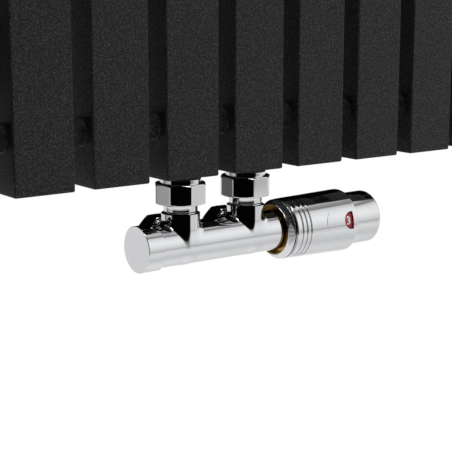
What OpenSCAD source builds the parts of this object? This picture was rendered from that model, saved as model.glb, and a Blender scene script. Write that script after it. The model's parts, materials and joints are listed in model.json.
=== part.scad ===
// Vertical-tube radiator with a twin valve below its middle and a thermostatic head.
// Millimetres. X runs along the radiator, Y towards the wall, Z up.
// The origin is the middle of the four wall screw holes, on the wall's face.

/* [Radiator] */
// Height of the tubes
tube_length = 600; // [400:50:1200]
// Distance from one tube to the next, and between the two valve ports
tube_pitch = 50; // [48:1:56]
// Width of a tube's front face
tube_face = 38; // [34:1:40]
// Depth of a tube, front to back
tube_depth = 29; // [28:1:34]
// Rounding of a tube's edges
edge_r = 1.25; // [1:0.25:2]
// Thickness of a tube's walls
tube_wall = 1.5; // [1.25:0.25:2]
// Outside diameter of the nipples that join the tubes
nipple_d = 15; // [13:0.5:18]
// Height of a nipple's axis above or below the tube's end
nipple_height = 32; // [25:1:40]
// Distance from the wall to the middle of the tubes
wall_distance = 60; // [58:1:75]

/* [Brackets] */
// Distance of a bracket's axis from the tube's end
bracket_inset = 75; // [60:5:150]
// Diameter of a bracket's peg
peg_d = 14; // [12:1:16]
// Radius of a wall screw hole
screw_hole_r = 3.25; // [2.5:0.25:3.5]

/* [Valve] */
// Distance from the tubes' lower ends down to the valve's axis
valve_drop = 42.3; // [42:0.1:46]
// Radius of the valve's barrel
barrel_r = 13.2; // [13:0.1:13.5]
// Radius of the branches that rise from the barrel
branch_r = 12; // [11.5:0.1:12.5]
// Radius of the smooth neck under a union nut
neck_r = 10.6; // [10.4:0.1:10.8]
// Distance across the flats of a union nut
union_nut_af = 30.7; // [30:0.1:32]
// Height of a union nut
union_nut_h = 12.9; // [12.5:0.1:13.2]
// Turn of the left union nut
left_nut_turn = 12; // [0:1:45]
// Turn of the right union nut
right_nut_turn = 3; // [0:1:45]
// Distance across the flats of a pipe nut
pipe_nut_af = 28; // [26:0.5:30]
// Diameter of the supply and return pipes that plug in from the wall
pipe_d = 15; // [14:1:15]
// Radius of the lockshield cap
cap_r = 14.5; // [13.5:0.1:15]

/* [Thermostatic head] */
// Radius of the head's barrel at the knob
head_r = 21.1; // [20.8:0.1:21.5]
// Radius of the setting knob
knob_r = 17.7; // [16.5:0.1:18]
// Angle of the scale window above the horizontal
window_angle = 10; // [0:5:40]
// Radius of the half-round scale window
window_r = 6; // [4:0.5:7]

/* [Hidden] */

$fn = 64;
BIG = 200;
FIT = 0.05; // radial clearance of a running fit

tube_count = 10;
tube_y = -wall_distance;
tube_back = tube_y + tube_depth / 2;
top_z = tube_length / 2;
bottom_z = -tube_length / 2;
end_cap = 3;
nipple_bore_r = nipple_d / 2 - 2;
gap = tube_pitch - tube_face;
mid_tube = tube_count / 2;

bracket_x = 3.5 * tube_pitch;
bracket_z = top_z - bracket_inset;
peg_r = peg_d / 2;
peg_end = -12;
sleeve_r = peg_r + 4;
sleeve_len = 34;
plate_t = 4;
plate_r = 12;
screw_offset = 24;
grub_r = 2.5;

rear_port_z = top_z - 28;
rear_boss_r = 13;
rear_thread_r = 9.5;
rear_boss_h = 5.5;
seal_t = 1;
plug_head_y = rear_boss_h + seal_t;
plug_depth = tube_wall + 2;
plug_hex_r = 12.7;
plug_hex_h = 6;
plug_disc_r = 12.5;
plug_face_y = plug_head_y + 4.5;
socket_r = 5.8;
socket_depth = 8.5;
bleed_r = 3;
bleed_flange_r = 4.2;

// The valve's own frame: its origin is on its axis, midway between the ports.
valve_z = bottom_z - valve_drop;
port_x = tube_pitch / 2;
boss_z = valve_drop;
nut_top = boss_z - 3.9;
nut_bottom = nut_top - union_nut_h;
neck_bottom = nut_bottom - 4.5;
groove_bottom = neck_bottom - 1.5;
boss_r = 12.8;
boss_bottom = boss_z - 1.2;
boss_neck_r = 11.5;
tail_r = 13.1;
tail_bottom = nut_top - 7.8;
tail_bore_r = 8;
gasket_t = 1.2;
gasket_r = 12;
lift_collar_top = tail_bottom - gasket_t;
lift_collar_h = 1.2;
lift_collar_r = 12.4;
nut_lip_top = lift_collar_top - lift_collar_h - 0.1;

barrel_left = -45.4;
barrel_right = 52;
stub_r = 11;
stub_end = -52.5;
chamber_r = 9;
wall_half = 8;
seat_x = 21;
seat_t = 2.5;
seat_r = 5;
chamber_x = seat_x + seat_t;
riser_x = port_x + 3.6;
riser_r = 5;
feed_x = port_x - 7;
feed_r = 3.2;
feed_depth = 5;

pipe_r = pipe_d / 2 + 0.1;
pipe_stop = 14;
rear_r = 11.2;
rear_shoulder = 16;
rear_thread = 10.4;
rear_end = 25;
pipe_nut_y = 17;
pipe_nut_len = 13;
olive_r = 8.6;

cap_end = -57.2;
cap_wall = 3;
gland_r = 8.95;
spindle_r = 4;
spindle_tip_r = 3;
plug_travel = 3.5;
plug_face = -chamber_x - plug_travel - 0.2;
plug_tail = -36.5;
plug_r = 7;
gland_in = -38;
spindle_collar_r = 6;

pin_r = 2;
pin_end = 62;
disc_x = chamber_x + 1.5;
disc_t = 2.2;
disc_r = 7;
insert_in = 38;
insert_out = 50;
spring_room_r = 6;
pin_flange_x = 47.5;
insert_gland_out = 56;

collar_front = 47;
collar_edge = 50.5;
collar_front_r = 16.5;
collar_edge_r = 19.6;
collar_core_r = 17.4;
collar_back = 55.5;
nut_web = 51.2;
nut_web_end = 58;
shell_start = 53;
shell_r = 19.8;
shell_end = 104;
shell_step = 1.6;
shell_wall = 1.8;
shell_bore_r = shell_r - shell_wall;
base_bore_r = 9;
base_step = 58.3;
base_end = 61;
thin_start = 84;
thin_wall = 1.1;
groove_xs = [57.1, 60.6, 64];
groove_w = 1;
groove_d = 0.9;
arch_r = 10;
arch_x = 87;
arch_line = 0.5;
arch_depth = 0.25;
window_x = 99.6;
knob_end = 127.4;
knob_round = 2;
knob_wall = 2;
sleeve_out = 19.75;
sleeve_in = 18.3;
stem_r = 6;
carrier_x = 88;
capsule_x = 66;
capsule_r = 12;

STEEL_BLACK = [0.12, 0.12, 0.125];
CHROME = [0.82, 0.83, 0.85];
BRASS = [0.78, 0.62, 0.3];
RUBBER = [0.08, 0.08, 0.08];
WHITE_PLASTIC = [0.9, 0.9, 0.88];
STEEL = [0.6, 0.6, 0.62];
RED = [0.75, 0.08, 0.08];

function tube_x(k) = (k - (tube_count + 1) / 2) * tube_pitch;

// ---- shapes used by several pieces ----

module rounded_rect(w, h, r) {
    square([w - 2 * r, h], center = true);
    square([w, h - 2 * r], center = true);
    for (x = [-1, 1], y = [-1, 1])
        translate([x * (w / 2 - r), y * (h / 2 - r)]) circle(r);
}

// A block with every edge rounded, centred on the origin
module rounded_block(w, d, h, r) {
    intersection() {
        linear_extrude(h, center = true) rounded_rect(w, d, r);
        rotate([90, 0, 0]) linear_extrude(d, center = true) rounded_rect(w, h, r);
        rotate([90, 0, 90]) linear_extrude(w, center = true) rounded_rect(d, h, r);
    }
}

// Children are outlines of [radius, position], turned about the X axis
module turn_x() {
    rotate([0, 90, 0]) rotate_extrude() children();
}

// The same, turned about the Y axis
module turn_y() {
    rotate([-90, 0, 0]) rotate_extrude() children();
}

module band(r_in, r_out, from, to) {
    translate([r_in, from]) square([r_out - r_in, to - from]);
}

module at_valve() {
    translate([0, tube_y, valve_z]) children();
}

module at_ports() {
    for (side = [-1, 1]) translate([side * port_x, 0, 0]) children();
}

module at_brackets() {
    for (x = [-bracket_x, bracket_x], up = [-1, 1])
        translate([x, 0, up * bracket_z]) mirror([0, 0, up < 0 ? 1 : 0]) children();
}

// An eight-sided nut about Z with both ends chamfered
module octagon_nut(af, h) {
    corner_r = af / 2 / cos(22.5);
    flat = af / 2 - 0.2;
    intersection() {
        cylinder(h = h, r = corner_r, $fn = 8);
        rotate_extrude()
            polygon([[0, 0], [flat, 0], [corner_r + 0.1, 1.1],
                [corner_r + 0.1, h - 1.1], [flat, h], [0, h]]);
    }
}

// A wire wound about the X axis, from x = 0 to x = length
module coil_spring(coil_r, wire_r, length, turns) {
    sides = 8;
    rings = turns * 12;
    span = length - 2 * wire_r;
    points = [for (i = [0:rings], j = [0:sides - 1])
        let (a = 360 * turns * i / rings, b = 360 * j / sides, r = coil_r + wire_r * cos(b))
        [wire_r + span * i / rings + wire_r * sin(b), r * cos(a), r * sin(a)]];
    walls = [for (i = [0:rings - 1], j = [0:sides - 1])
        let (n = (j + 1) % sides)
        [i * sides + j, (i + 1) * sides + j, (i + 1) * sides + n, i * sides + n]];
    first_end = [for (j = [0:sides - 1]) j];
    last_end = [for (j = [sides - 1:-1:0]) rings * sides + j];
    polyhedron(points, concat(walls, [first_end, last_end]), convexity = 10);
}

// ---- radiator ----

module tube(k) {
    color(STEEL_BLACK)
    translate([tube_x(k), tube_y, 0])
    difference() {
        rounded_block(tube_face, tube_depth, tube_length, edge_r);
        cube([tube_face - 2 * tube_wall, tube_depth - 2 * tube_wall, tube_length - 2 * end_cap],
            center = true);
        for (z = [bottom_z + nipple_height, top_z - nipple_height]) {
            if (k > 1) translate([-tube_face, 0, z])
                rotate([0, 90, 0]) cylinder(h = tube_face, r = nipple_bore_r);
            if (k < tube_count) translate([0, 0, z])
                rotate([0, 90, 0]) cylinder(h = tube_face, r = nipple_bore_r);
        }
        if (k == mid_tube || k == mid_tube + 1)
            translate([0, 0, bottom_z - 1]) cylinder(h = end_cap + 2, r = boss_neck_r);
        if (k == 1 || k == tube_count)
            translate([0, 0, rear_port_z]) rotate([-90, 0, 0])
                cylinder(h = tube_depth, r = rear_thread_r + FIT);
    }
}

module nipples(z) {
    color(STEEL_BLACK)
    for (k = [1:tube_count - 1])
        translate([tube_x(k) + tube_face / 2, tube_y, z])
            turn_x() band(nipple_bore_r, nipple_d / 2, 0, gap);
}

// A plate in the middle nipple that keeps supply and return water apart
module flow_diverter() {
    color(STEEL)
    translate([-1, tube_y, bottom_z + nipple_height])
        turn_x() band(0, nipple_bore_r - FIT, 0, 2);
}

module valve_bosses() {
    color(STEEL_BLACK)
    at_valve() at_ports() rotate_extrude() {
        band(rear_thread_r + FIT, boss_r, boss_bottom, boss_z);
        band(rear_thread_r + FIT, boss_neck_r, boss_z, boss_z + 12);
    }
}

module at_rear_ports() {
    for (k = [1, tube_count]) translate([tube_x(k), tube_back, rear_port_z]) children();
}

module rear_bosses() {
    color(STEEL_BLACK)
    at_rear_ports() turn_y() band(rear_thread_r + FIT, rear_boss_r, 0, rear_boss_h);
}

module rear_seals() {
    color(RUBBER)
    at_rear_ports() turn_y()
        band(rear_thread_r, rear_boss_r - 1, rear_boss_h, rear_boss_h + seal_t);
}

// A threaded plug with a six-sided head, behind the radiator
module rear_plug(bore_r) {
    difference() {
        union() {
            turn_y() band(bore_r, rear_thread_r, -plug_depth, plug_head_y);
            translate([0, plug_head_y, 0]) rotate([-90, 0, 0])
                intersection() {
                    cylinder(h = plug_hex_h, r = plug_hex_r, $fn = 6);
                    cylinder(h = plug_hex_h, r1 = plug_hex_r + 2.3, r2 = plug_hex_r - 1.1);
                }
        }
        rotate([-90, 0, 0]) cylinder(h = BIG, r = bore_r);
    }
}

module vent_body() {
    color(CHROME)
    translate([tube_x(tube_count), tube_back, rear_port_z]) rear_plug(bleed_r + FIT);
}

module bleed_screw() {
    color(BRASS)
    translate([tube_x(tube_count), tube_back, rear_port_z]) {
        turn_y() {
            band(0, bleed_r, -3, plug_head_y + plug_hex_h + 1);
            band(0, bleed_flange_r, plug_head_y + plug_hex_h + 0.1, plug_head_y + plug_hex_h + 2);
        }
        translate([-2.5, plug_head_y + plug_hex_h + 1, -2.5]) cube([5, 7, 5]);
    }
}

module blank_plug() {
    color(CHROME)
    translate([tube_x(1), tube_back, rear_port_z])
        difference() {
            union() {
                turn_y() band(0, rear_thread_r, -plug_depth, plug_head_y);
                turn_y() polygon([[0, plug_head_y], [plug_disc_r, plug_head_y],
                    [plug_disc_r, plug_face_y - 1], [plug_disc_r - 1, plug_face_y], [0, plug_face_y]]);
            }
            translate([0, plug_face_y - socket_depth, 0]) rotate([-90, 0, 0])
                cylinder(h = BIG, r = socket_r, $fn = 6);
        }
}

// ---- wall brackets ----

module bracket_pegs() {
    color(STEEL_BLACK)
    at_brackets() turn_y()
        polygon([[0, tube_back], [peg_r, tube_back], [peg_r, peg_end - 1], [peg_r - 1, peg_end],
            [0, peg_end]]);
}

module bracket_plates() {
    color(STEEL_BLACK)
    at_brackets() difference() {
        union() {
            rotate([90, 0, 0]) linear_extrude(plate_t) {
                circle(plate_r);
                translate([0, screw_offset]) circle(plate_r);
                translate([-plate_r, 0]) square([2 * plate_r, screw_offset]);
            }
            turn_y() band(0, sleeve_r, -sleeve_len, -plate_t);
        }
        translate([0, -BIG, 0]) rotate([-90, 0, 0]) cylinder(h = BIG - plate_t, r = peg_r + 2 * FIT);
        translate([0, -BIG, screw_offset]) rotate([-90, 0, 0]) cylinder(h = 2 * BIG, r = screw_hole_r);
        translate([0, -sleeve_len + 8, 0]) rotate([0, 90, 0]) cylinder(h = BIG, r = grub_r + FIT);
    }
}

module bracket_grub_screws() {
    color(STEEL)
    at_brackets() translate([peg_r + 0.05, -sleeve_len + 8, 0]) difference() {
        turn_x() polygon([[0, 0], [grub_r - 0.8, 0], [grub_r, 0.8], [grub_r, 4.6], [0, 4.6]]);
        translate([2.2, 0, 0]) rotate([0, 90, 0]) cylinder(h = 10, r = 1.4, $fn = 6);
    }
}

// ---- valve ----

// Branch up to a union nut: wide root, vee groove, neck and the collar that the nut lifts
module port_branch() {
    rotate_extrude()
        polygon([[0, 0], [branch_r, 0], [branch_r, groove_bottom], [neck_r - 0.6, neck_bottom - 0.3],
            [neck_r, neck_bottom], [neck_r, lift_collar_top - lift_collar_h],
            [lift_collar_r, lift_collar_top - lift_collar_h],
            [lift_collar_r, lift_collar_top], [0, lift_collar_top]]);
}

// Branch back to the wall, with the thread that a pipe nut screws onto
module pipe_branch() {
    turn_y() polygon([[0, 0], [rear_r, 0], [rear_r, rear_shoulder], [rear_thread, rear_shoulder + 0.8],
        [rear_thread, rear_end], [0, rear_end]]);
}

module valve_body() {
    color(CHROME)
    at_valve() difference() {
        union() {
            turn_x() polygon([[0, stub_end], [stub_r, stub_end], [stub_r, barrel_left],
                [barrel_r, barrel_left], [barrel_r, barrel_right], [0, barrel_right]]);
            at_ports() {
                port_branch();
                pipe_branch();
            }
        }
        for (side = [0, 1]) mirror([side, 0, 0]) {
            turn_x() {
                band(0, chamber_r, wall_half, seat_x);
                band(0, seat_r, seat_x - 1, chamber_x + 1);
                band(0, chamber_r, chamber_x, BIG);
            }
            translate([riser_x, 0, 0]) cylinder(h = BIG, r = riser_r);
            translate([port_x, 0, lift_collar_top - 3]) cylinder(h = BIG, r = tail_bore_r);
            translate([feed_x, feed_depth, 0]) rotate([-90, 0, 0])
                cylinder(h = pipe_stop - feed_depth + 0.5, r = feed_r);
            translate([port_x, pipe_stop, 0]) rotate([-90, 0, 0]) cylinder(h = BIG, r = pipe_r);
        }
    }
}

module union_tails() {
    color(CHROME)
    at_valve() at_ports() rotate_extrude() {
        band(tail_bore_r, rear_thread_r, nut_top, boss_z + 10);
        polygon([[tail_bore_r, tail_bottom], [tail_r, tail_bottom], [tail_r, nut_top - 0.5],
            [boss_r, nut_top + 0.2], [boss_r, boss_bottom], [tail_bore_r, boss_bottom]]);
    }
}

module union_gaskets() {
    color(RUBBER)
    at_valve() at_ports() rotate_extrude() band(tail_bore_r + 0.2, gasket_r, lift_collar_top, tail_bottom);
}

module union_nut(side, turn) {
    color(CHROME)
    at_valve() translate([side * port_x, 0, nut_bottom]) difference() {
        rotate([0, 0, turn - 22.5]) octagon_nut(union_nut_af, union_nut_h);
        rotate_extrude() {
            band(0, neck_r + FIT, -1, union_nut_h + 1);
            band(0, tail_r + FIT, nut_lip_top - nut_bottom, union_nut_h + 1);
        }
    }
}

// Soft rings that the pipe nuts squeeze onto the pipes
module pipe_olives() {
    color(BRASS)
    at_valve() at_ports() turn_y()
        polygon([[pipe_r + 0.1, rear_end], [olive_r, rear_end], [olive_r, rear_end + 1.2],
            [pipe_r + 0.4, rear_end + 3], [pipe_r + 0.1, rear_end + 3]]);
}

module pipe_nut(side) {
    color(CHROME)
    at_valve() translate([side * port_x, pipe_nut_y, 0]) difference() {
        rotate([-90, 0, 0]) rotate([0, 0, 22.5]) octagon_nut(pipe_nut_af, pipe_nut_len);
        turn_y() {
            band(0, pipe_r + 0.2, -1, pipe_nut_len + 1);
            band(0, rear_thread + FIT, -1, rear_end + 3.2 - pipe_nut_y);
        }
    }
}

// Fixed plug that holds the lockshield spindle in the barrel
module lockshield_gland() {
    color(BRASS)
    at_valve() turn_x() {
        band(spindle_r + FIT, gland_r, stub_end + 0.5, gland_in);
    }
}

module spindle_seal() {
    color(RUBBER)
    at_valve() turn_x() band(spindle_r + FIT, spindle_collar_r, gland_in, gland_in + 0.8);
}

// Turned with a six-sided key once the cap is off
module lockshield_spindle() {
    color(BRASS)
    at_valve() difference() {
        turn_x() {
            band(0, spindle_r, stub_end + 0.5, gland_in + 0.9);
            band(0, spindle_collar_r - 1, gland_in + 0.9, plug_tail - 0.1);
            band(0, spindle_tip_r, plug_tail - 0.2, plug_tail + 5);
        }
        translate([stub_end - 1, 0, 0]) rotate([0, 90, 0]) cylinder(h = 6, r = 2.9, $fn = 6);
    }
}

// Rides on the spindle's thread and closes the return's seat
module lockshield_plug() {
    color(BRASS)
    at_valve() difference() {
        turn_x() polygon([[0, plug_tail], [plug_r, plug_tail], [plug_r, plug_face - 1],
            [plug_r - 1, plug_face], [0, plug_face]]);
        translate([plug_tail - 1, 0, 0]) rotate([0, 90, 0])
            cylinder(h = 7.5, r = spindle_tip_r + FIT);
    }
}

module lockshield_cap() {
    color(CHROME)
    at_valve() turn_x() polygon([[0, cap_end], [cap_r - 0.6, cap_end], [cap_r, cap_end + 0.6],
        [cap_r, barrel_left - 0.4], [cap_r - 0.4, barrel_left], [stub_r + FIT, barrel_left],
        [stub_r + FIT, cap_end + cap_wall], [0, cap_end + cap_wall]]);
}

// ---- thermostatic insert ----

module insert_body() {
    color(BRASS)
    at_valve() turn_x() {
        band(pin_r + FIT, gland_r, insert_in, insert_in + 2);
        band(spring_room_r, gland_r, insert_in + 2, insert_out);
    }
}

module insert_gland() {
    color(BRASS)
    at_valve() {
        turn_x() band(pin_r + FIT, gland_r, insert_out, barrel_right);
        translate([barrel_right, 0, 0]) rotate([0, 90, 0]) difference() {
            cylinder(h = insert_gland_out - barrel_right, r = 8, $fn = 6);
            translate([0, 0, -1]) cylinder(h = 10, r = pin_r + FIT);
        }
    }
}

module insert_seal() {
    color(RUBBER)
    at_valve() turn_x() band(pin_r + FIT, spring_room_r, insert_out - 1, insert_out);
}

module valve_pin() {
    color(STEEL)
    at_valve() turn_x() {
        band(0, pin_r, disc_x + disc_t - 0.5, pin_end);
        band(0, disc_r - 1, disc_x + disc_t, disc_x + disc_t + 1);
        band(0, spring_room_r - 0.3, pin_flange_x - 1, pin_flange_x);
    }
}

module valve_disc() {
    color(RUBBER)
    at_valve() turn_x() polygon([[0, disc_x], [disc_r - 0.5, disc_x], [disc_r, disc_x + 0.5],
        [disc_r, disc_x + disc_t], [pin_r, disc_x + disc_t], [pin_r, disc_x + disc_t - 0.5],
        [0, disc_x + disc_t - 0.5]]);
}

// Pushes the pin outwards, which opens the valve
module return_spring() {
    color(STEEL)
    at_valve() translate([insert_in + 2, 0, 0])
        coil_spring(4.6, 0.5, pin_flange_x - 1 - insert_in - 2, 4);
}

// ---- thermostatic head ----

module coupling_collar() {
    color(CHROME)
    at_valve() turn_x() polygon([[collar_front_r, collar_front], [collar_edge_r, collar_edge],
        [collar_core_r, collar_edge + 0.01], [collar_core_r, collar_back],
        [collar_front_r, collar_back]]);
}

module coupling_nut() {
    color(BRASS)
    at_valve() turn_x() {
        band(collar_front_r - 0.8, collar_front_r, collar_front + 0.5, nut_web);
        band(barrel_r + 2 * FIT, collar_front_r, nut_web, nut_web_end);
    }
}

// Inner end of the head, which the coupling draws onto the valve
module head_base() {
    color(WHITE_PLASTIC)
    at_valve() turn_x() {
        band(base_bore_r, shell_bore_r, base_step, base_end);
        band(base_bore_r, barrel_r, shell_start, base_step);
    }
}

function shell_outer(x) = shell_r + (head_r - shell_r) * (x - shell_start) / (shell_end - shell_start);

// Half-round outline with its flat side towards the knob, in the plane of X and Z
module half_round(r, flat_x, centre_x) {
    translate([centre_x, 0]) intersection() {
        circle(r);
        translate([-r, -r]) square([r, 2 * r]);
    }
    translate([centre_x, -r]) square([flat_x - centre_x, 2 * r]);
}

// Children are outlines in X and Z, pushed out from the axis towards the window
module towards_window() {
    rotate([-window_angle, 0, 0]) rotate([90, 0, 0]) linear_extrude(BIG) children();
}

module head_shell() {
    color(CHROME)
    at_valve() difference() {
        turn_x() polygon([[shell_bore_r, shell_start], [shell_r - 0.3, shell_start],
            [shell_r, shell_start + 0.3], [head_r, shell_end - shell_step],
            for (a = [0:15:90]) [head_r - shell_step + shell_step * cos(a),
                shell_end - shell_step + shell_step * sin(a)],
            [knob_r + 0.3, shell_end], [knob_r + 0.3, shell_end - 1],
            [head_r - thin_wall, shell_end - 1], [head_r - thin_wall, thin_start],
            [shell_bore_r, thin_start - 1.5]]);
        for (x = groove_xs)
            turn_x() band(shell_outer(x) - groove_d, BIG, x - groove_w / 2, x + groove_w / 2);
        towards_window() half_round(window_r, window_x, window_x - 1.5);
        intersection() {
            towards_window() difference() {
                half_round(arch_r, shell_end + 1, arch_x);
                half_round(arch_r - arch_line, shell_end + 2, arch_x);
            }
            turn_x() polygon([[shell_outer(shell_start) - arch_depth, shell_start],
                [BIG, shell_start], [BIG, shell_end], [shell_outer(shell_end) - arch_depth, shell_end]]);
        }
    }
}

// Carries the scale past the window as the knob turns
module scale_sleeve() {
    color(RED)
    at_valve() turn_x() {
        band(sleeve_in, sleeve_out, thin_start + 2, shell_end - 1.2);
        band(knob_r - 2, sleeve_in, shell_end - 3, shell_end - 1.2);
    }
}

module setting_knob() {
    color(CHROME)
    at_valve() turn_x() polygon([[knob_r - knob_wall, shell_end - 1.2], [knob_r, shell_end - 1.2],
        for (a = [0:15:90]) [knob_r - knob_round + knob_round * cos(a),
            knob_end - knob_round + knob_round * sin(a)],
        [0, knob_end], [0, knob_end - knob_wall], [knob_r - knob_wall, knob_end - knob_wall]]);
}

// Threaded stem inside the knob, which moves the sensor as it turns
module knob_stem() {
    color(WHITE_PLASTIC)
    at_valve() turn_x() {
        band(stem_r - 2, stem_r, 96, knob_end - knob_wall);
        band(stem_r, knob_r - knob_wall, 112, 114);
    }
}

module sensor_carrier() {
    color(WHITE_PLASTIC)
    at_valve() turn_x() {
        band(0, stem_r - 2 - 2 * FIT, carrier_x + 2, 108);
        band(0, capsule_r + 2.5, carrier_x, carrier_x + 2);
        band(capsule_r + 1, capsule_r + 2.5, 74, carrier_x);
    }
}

module sensor_capsule() {
    color(BRASS)
    at_valve() turn_x() polygon([[0, pin_end], [4, pin_end], [4, capsule_x], [capsule_r - 1, capsule_x],
        [capsule_r, capsule_x + 1], [capsule_r, capsule_x + 12], [capsule_r - 3, capsule_x + 13],
        [0, capsule_x + 13]]);
}

// Gives way if the sensor swells when the valve is already shut
module overtravel_spring() {
    color(STEEL)
    at_valve() translate([capsule_x + 13, 0, 0])
        coil_spring(6.5, 0.8, carrier_x - capsule_x - 13, 3);
}

// ---- one line for each node ----

tube(1);  // tube_01
tube(2);  // tube_02
tube(3);  // tube_03
tube(4);  // tube_04
tube(5);  // tube_05
tube(6);  // tube_06
tube(7);  // tube_07
tube(8);  // tube_08
tube(9);  // tube_09
tube(10);  // tube_10
nipples(bottom_z + nipple_height);  // lower_nipples
nipples(top_z - nipple_height);  // upper_nipples
flow_diverter();
valve_bosses();
rear_bosses();
vent_body();
bleed_screw();
blank_plug();
rear_seals();
bracket_pegs();
bracket_plates();
bracket_grub_screws();
valve_body();
union_tails();
union_gaskets();
union_nut(-1, left_nut_turn);  // union_nut_left
union_nut(1, right_nut_turn);  // union_nut_right
pipe_olives();
pipe_nut(-1);  // pipe_nut_left
pipe_nut(1);  // pipe_nut_right
lockshield_gland();
lockshield_spindle();
lockshield_plug();
lockshield_cap();
spindle_seal();
insert_body();
insert_gland();
insert_seal();
valve_pin();
valve_disc();
return_spring();
coupling_collar();
coupling_nut();
head_base();
head_shell();
scale_sleeve();
setting_knob();
knob_stem();
sensor_carrier();
sensor_capsule();
overtravel_spring();
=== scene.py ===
"""Looks for a black tube radiator with a chrome twin valve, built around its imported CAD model."""

import json
import math

import bmesh
import bpy
import numpy as np
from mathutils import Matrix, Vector


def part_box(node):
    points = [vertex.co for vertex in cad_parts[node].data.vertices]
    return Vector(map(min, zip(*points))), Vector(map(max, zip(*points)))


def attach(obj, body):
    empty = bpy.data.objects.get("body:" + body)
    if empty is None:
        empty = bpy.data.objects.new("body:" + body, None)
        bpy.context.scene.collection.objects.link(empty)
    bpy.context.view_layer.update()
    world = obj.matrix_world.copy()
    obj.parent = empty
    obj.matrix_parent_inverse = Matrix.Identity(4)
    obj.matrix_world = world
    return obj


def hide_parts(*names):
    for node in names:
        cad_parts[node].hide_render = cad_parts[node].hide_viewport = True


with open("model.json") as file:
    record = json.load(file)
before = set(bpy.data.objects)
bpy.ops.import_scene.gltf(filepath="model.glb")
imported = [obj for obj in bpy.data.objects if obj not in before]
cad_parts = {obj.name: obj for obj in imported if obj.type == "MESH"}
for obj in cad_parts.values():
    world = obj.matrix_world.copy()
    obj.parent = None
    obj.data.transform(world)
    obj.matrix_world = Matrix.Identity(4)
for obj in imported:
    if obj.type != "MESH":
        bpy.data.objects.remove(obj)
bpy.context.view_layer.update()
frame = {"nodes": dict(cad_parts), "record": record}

bl_info = {
    "name": "Tube radiator looks",
    "version": (1, 0, 0),
    "blender": (4, 5, 0),
    "location": "View3D > Sidebar > Radiator",
    "description": "Tubes, valve, thermostatic head and studio for a tube radiator",
    "category": "Object",
}

MM = 0.001
BODY = "radiator"


# ---- measures read from the frame ----


def middle(node):
    """The middle of a CAD node's box."""
    low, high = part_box(node)
    return (low + high) / 2


def span(node, axis):
    """A node's lowest and highest value along an axis."""
    low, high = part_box(node)
    return low[axis], high[axis]


TUBES = sorted(n for n in frame["nodes"] if n.startswith("tube_"))
AXIS_Y, AXIS_Z = middle("lockshield_cap").y, middle("lockshield_cap").z
AXIS = Vector((0, AXIS_Y, AXIS_Z))
PORT_X = middle("union_nut_right").x


# ---- sizes and colours that a user would change ----


class RadiatorCoat(bpy.types.PropertyGroup):
    colour: bpy.props.FloatVectorProperty(
        name="Coat", description="Colour of the powder coat", subtype="COLOR", size=3,
        min=0, max=1, default=(0.0034, 0.0034, 0.0038))
    # Painted highlight: the paler colour that the coat's raised grains and glints are painted in.
    painted_highlight_colour: bpy.props.FloatVectorProperty(
        name="Speckle", description="Colour of the coat's raised grains", subtype="COLOR", size=3,
        min=0, max=1, default=(0.046, 0.046, 0.048))
    grain: bpy.props.FloatProperty(
        name="Grain", description="Size of the coat's grains", unit="LENGTH",
        min=0.0002, max=0.003, default=0.0012)
    edge: bpy.props.FloatProperty(
        name="Edge", description="Rounding of the tubes' edges", unit="LENGTH",
        min=0.0005, max=0.003, default=0.00125)


class ValveFinish(bpy.types.PropertyGroup):
    chrome: bpy.props.FloatVectorProperty(
        name="Chrome", description="Colour of the chrome plate", subtype="COLOR", size=3,
        min=0, max=1, default=(0.62, 0.625, 0.635))
    brass: bpy.props.FloatVectorProperty(
        name="Brass", description="Colour of the turned brass", subtype="COLOR", size=3,
        min=0, max=1, default=(0.62, 0.40, 0.13))
    scale: bpy.props.FloatVectorProperty(
        name="Scale", description="Colour of the scale behind the window", subtype="COLOR", size=3,
        min=0, max=1, default=(0.36, 0.012, 0.022))
    blend: bpy.props.FloatProperty(
        name="Blend", description="Softness of the join between barrel and branches", unit="LENGTH",
        min=0.0005, max=0.006, default=0.0028)
    ribs: bpy.props.IntProperty(
        name="Ribs", description="Number of fine ribs round the collar", min=24, max=240, default=132)


class StudioSetup(bpy.types.PropertyGroup):
    azimuth: bpy.props.FloatProperty(
        name="Azimuth", description="Where the camera stands, round the radiator", subtype="ANGLE",
        default=math.radians(-36.284))
    elevation: bpy.props.FloatProperty(
        name="Elevation", description="How high the camera stands", subtype="ANGLE",
        default=math.radians(11.406))
    distance: bpy.props.FloatProperty(
        name="Distance", description="From the camera to the valve", unit="LENGTH", default=0.7861)
    lens: bpy.props.FloatProperty(
        name="Lens", description="Focal length in millimetres", default=98.86)
    floor_drop: bpy.props.FloatProperty(
        name="Floor drop", description="From the valve down to the floor", unit="LENGTH", default=0.42)
    room: bpy.props.FloatProperty(
        name="Room", description="Brightness of the room that the chrome mirrors", min=0, max=10,
        default=1.28)
    overhead: bpy.props.FloatProperty(
        name="Overhead", description="Strength of the light from above", min=0, max=20, default=3.1)


GROUPS = {"radiator_coat": RadiatorCoat, "valve_finish": ValveFinish, "studio_setup": StudioSetup}


# ---- shader graphs, written as expressions ----


class Value:
    """A socket that takes part in Python arithmetic."""

    def __init__(self, graph, socket):
        self.graph = graph
        self.socket = socket

    def maths(self, operation, *others):
        return self.graph.node("ShaderNodeMath", {"operation": operation},
                               dict(enumerate([self, *others])))

    def __add__(self, other):
        return self.maths("ADD", other)

    def __sub__(self, other):
        return self.maths("SUBTRACT", other)

    def __mul__(self, other):
        return self.maths("MULTIPLY", other)

    def __truediv__(self, other):
        return self.maths("DIVIDE", other)

    def __rsub__(self, other):
        return (self * -1) + other

    __radd__ = __add__
    __rmul__ = __mul__


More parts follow.
